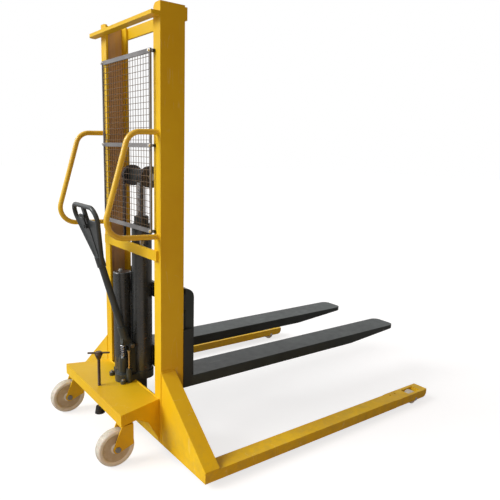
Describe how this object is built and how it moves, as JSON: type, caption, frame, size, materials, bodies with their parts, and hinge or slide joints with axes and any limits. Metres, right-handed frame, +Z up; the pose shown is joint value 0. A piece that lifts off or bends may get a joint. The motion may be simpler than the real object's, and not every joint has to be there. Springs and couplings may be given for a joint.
{
  "type": "walkie stacker",
  "caption": "Hand-pumped straddle stacker: channel mast with chain-lifted forks, tiller-driven hydraulic unit, mesh guard, straddle legs with rollers, swivel casters and a screw floor lock.",
  "frame": {"origin": "middle of the machine's footprint, on the floor", "axes": "+Z up, +Y towards the fork tips, +X to the operator's right as the operator faces the mast from behind"},
  "size_m": [1.502, 2.072, 2.085],
  "materials": {
    "yellow_paint": "satin",
    "black_paint": "satin",
    "black_casting": "gloss painted",
    "bright_steel": "zinc plated",
    "oiled_steel": "dark, oiled",
    "chromed_steel": "polished",
    "cream_nylon": "smooth moulded",
    "brass": "machined",
    "black_rubber": "matt"
  },
  "bodies": {
    "chassis": {"mast_channel_left": "yellow_paint", "mast_channel_right": "yellow_paint", "mast_top_front_plate": "yellow_paint", "mast_top_rear_bar": "yellow_paint", "mast_mid_crossbar": "yellow_paint", "lower_cross_member": "yellow_paint", "base_plate": "yellow_paint", "base_side_plates": "yellow_paint", "outrigger_left": "yellow_paint", "outrigger_right": "yellow_paint", "leg_left": "yellow_paint", "leg_right": "yellow_paint", "leg_roller_axles": "bright_steel", "caster_housings": "yellow_paint", "push_handle_left": "yellow_paint", "push_handle_right": "yellow_paint", "guard_frame": "black_paint", "guard_mesh": "black_paint", "guard_bolts": "bright_steel", "pump_base": "black_casting", "pump_base_bolts": "bright_steel", "lift_cylinder": "black_paint", "cylinder_liner": "bright_steel", "cylinder_gland": "black_paint", "oil_reservoir": "black_paint", "filler_plug": "bright_steel", "tiller_pin": "bright_steel", "chain_anchors": "bright_steel", "chain_rear_strands": "oiled_steel", "pump_spring": "oiled_steel"},
    "ram": {"piston_rod": "chromed_steel", "crosshead": "black_paint", "sheave_pins": "bright_steel", "chain_wraps": "oiled_steel", "chain_front_strands": "oiled_steel"},
    "sheaves": {"chain_sheaves": "oiled_steel"},
    "carriage": {"carriage_side_plates": "black_paint", "carriage_cross_plates": "black_paint", "fork_left": "black_paint", "fork_right": "black_paint", "fork_side_plates": "black_paint", "roller_pins": "bright_steel"},
    "upper_rollers": {"upper_mast_rollers": "oiled_steel"},
    "lower_rollers": {"lower_mast_rollers": "oiled_steel"},
    "tiller": {"tiller_yoke": "black_casting", "tiller_shaft": "black_paint", "tiller_handle": "black_paint"},
    "release_lever": {"release_lever": "black_paint"},
    "plunger": {"pump_plunger": "chromed_steel"},
    "valve_rod": {"valve_rod": "brass"},
    "lock_foot": {"lock_foot": "black_rubber"},
    "lock_screw": {"lock_screw": "oiled_steel"},
    "caster_swivel_left": {"caster_fork_left": "yellow_paint", "caster_axle_left": "bright_steel"},
    "caster_wheel_left": {"caster_wheel_left": "cream_nylon"},
    "leg_roller_left": {"leg_roller_left": "cream_nylon"},
    "caster_swivel_right": {"caster_fork_right": "yellow_paint", "caster_axle_right": "bright_steel"},
    "caster_wheel_right": {"caster_wheel_right": "cream_nylon"},
    "leg_roller_right": {"leg_roller_right": "cream_nylon"}
  },
  "joints": [
    {"name": "ram_slide", "type": "slide", "parent": "chassis", "child": "ram", "axis": [0, 0, 1], "range_m": [-0.1295, 0.625], "deforming": ["chain_rear_strands"]},
    {"name": "carriage_slide", "type": "slide", "parent": "ram", "child": "carriage", "axis": [0, 0, 1], "range_m": [-0.1295, 0.625], "deforming": ["chain_front_strands"]},
    {"name": "sheave_spin", "type": "hinge", "parent": "ram", "child": "sheaves", "pos_m": [0, -0.648, 1.325], "axis": [1, 0, 0], "range_deg": [-158, 762]},
    {"name": "upper_roller_spin", "type": "hinge", "parent": "carriage", "child": "upper_rollers", "pos_m": [0, -0.64975, 0.72], "axis": [1, 0, 0], "range_deg": [-1470, 305]},
    {"name": "lower_roller_spin", "type": "hinge", "parent": "carriage", "child": "lower_rollers", "pos_m": [0, -0.64975, 0.57], "axis": [1, 0, 0], "range_deg": [-305, 1470]},
    {"name": "tiller_hinge", "type": "hinge", "parent": "chassis", "child": "tiller", "pos_m": [0, -0.718, 0.446], "axis": [1, 0, 0], "range_deg": [0, 50], "stiffness_Nm_per_rad": 16, "springref_deg": -51.57},
    {"name": "plunger_slide", "type": "slide", "parent": "chassis", "child": "plunger", "axis": [0, 0, 1], "range_m": [-0.037, 0], "deforming": ["pump_spring"]},
    {"name": "release_hinge", "type": "hinge", "parent": "tiller", "child": "release_lever", "pos_m": [0, -0.93529, 1.08343], "axis": [1, 0, 0], "range_deg": [0, 20], "stiffness_Nm_per_rad": 1.2, "springref_deg": -20.05},
    {"name": "valve_slide", "type": "slide", "parent": "chassis", "child": "valve_rod", "axis": [0, 0, 1], "range_m": [0, 0.0061]},
    {"name": "lock_slide", "type": "slide", "parent": "chassis", "child": "lock_foot", "axis": [0, 0, 1], "range_m": [-0.1085, 0]},
    {"name": "lock_turn", "type": "hinge", "parent": "lock_foot", "child": "lock_screw", "pos_m": [0, -0.889, 0.434], "axis": [0, 0, 1], "range_deg": [-4880, 0]},
    {"name": "caster_swivel_left", "type": "hinge", "parent": "chassis", "child": "caster_swivel_left", "pos_m": [-0.331, -0.896, 0.2], "axis": [0, 0, 1], "continuous": true},
    {"name": "caster_roll_left", "type": "hinge", "parent": "caster_swivel_left", "child": "caster_wheel_left", "pos_m": [-0.331, -0.946, 0.09], "axis": [1, 0, 0], "continuous": true},
    {"name": "leg_roll_left", "type": "hinge", "parent": "chassis", "child": "leg_roller_left", "pos_m": [-0.70275, 0.768, 0.037], "axis": [1, 0, 0], "continuous": true},
    {"name": "caster_swivel_right", "type": "hinge", "parent": "chassis", "child": "caster_swivel_right", "pos_m": [0.331, -0.896, 0.2], "axis": [0, 0, 1], "continuous": true},
    {"name": "caster_roll_right", "type": "hinge", "parent": "caster_swivel_right", "child": "caster_wheel_right", "pos_m": [0.331, -0.946, 0.09], "axis": [1, 0, 0], "continuous": true},
    {"name": "leg_roll_right", "type": "hinge", "parent": "chassis", "child": "leg_roller_right", "pos_m": [0.70275, 0.768, 0.037], "axis": [1, 0, 0], "continuous": true}
  ],
  "couplings": [
    {"joint": "carriage_slide", "follows": "ram_slide", "ratio": 1},
    {"joint": "sheave_spin", "follows": "ram_slide", "rad_per_m": 21.277},
    {"joint": "upper_roller_spin", "follows": "ram_slide", "rad_per_m": -41.026},
    {"joint": "lower_roller_spin", "follows": "ram_slide", "rad_per_m": 41.026},
    {"joint": "plunger_slide", "follows": "tiller_hinge", "m_per_rad": -0.042},
    {"joint": "valve_slide", "follows": "release_hinge", "m_per_rad": 0.01719},
    {"joint": "lock_slide", "follows": "lock_turn", "m_per_rad": 0.0012732}
  ]
}
